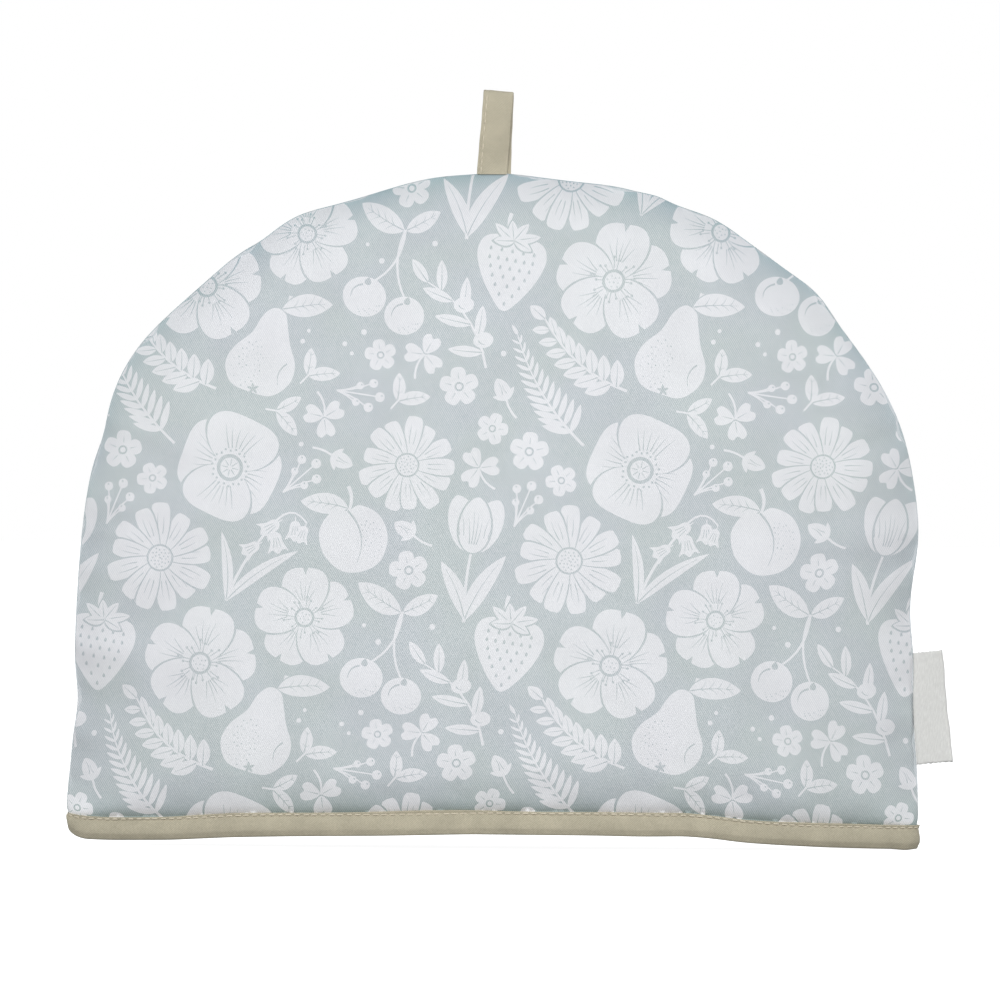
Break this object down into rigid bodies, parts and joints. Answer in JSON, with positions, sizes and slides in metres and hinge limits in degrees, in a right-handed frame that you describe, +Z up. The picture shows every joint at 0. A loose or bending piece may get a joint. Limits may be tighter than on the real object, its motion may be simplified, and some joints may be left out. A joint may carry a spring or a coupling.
{
  "type": "tea cosy",
  "caption": "Padded dome tea cosy standing open on its bound hem, with a hanging loop on top and a small blank side tab.",
  "frame": {"origin": "middle of the whole box in plan, on the surface that the hem stands on", "axes": "+Z up towards the loop; -Y out of the front panel; +X towards the side seam that holds the tab"},
  "size_m": [0.3758, 0.102, 0.3163],
  "materials": {
    "printed_cotton": "matt fine cotton twill, pale grey-blue with a white print",
    "bias_twill": "matt khaki cotton twill tape",
    "woven_tape": "smooth off-white woven tape"
  },
  "bodies": {
    "root": {"panel_front": "printed_cotton", "panel_back": "printed_cotton", "hem_binding": "bias_twill", "top_loop": "bias_twill", "side_tab": "woven_tape"}
  },
  "joints": []
}
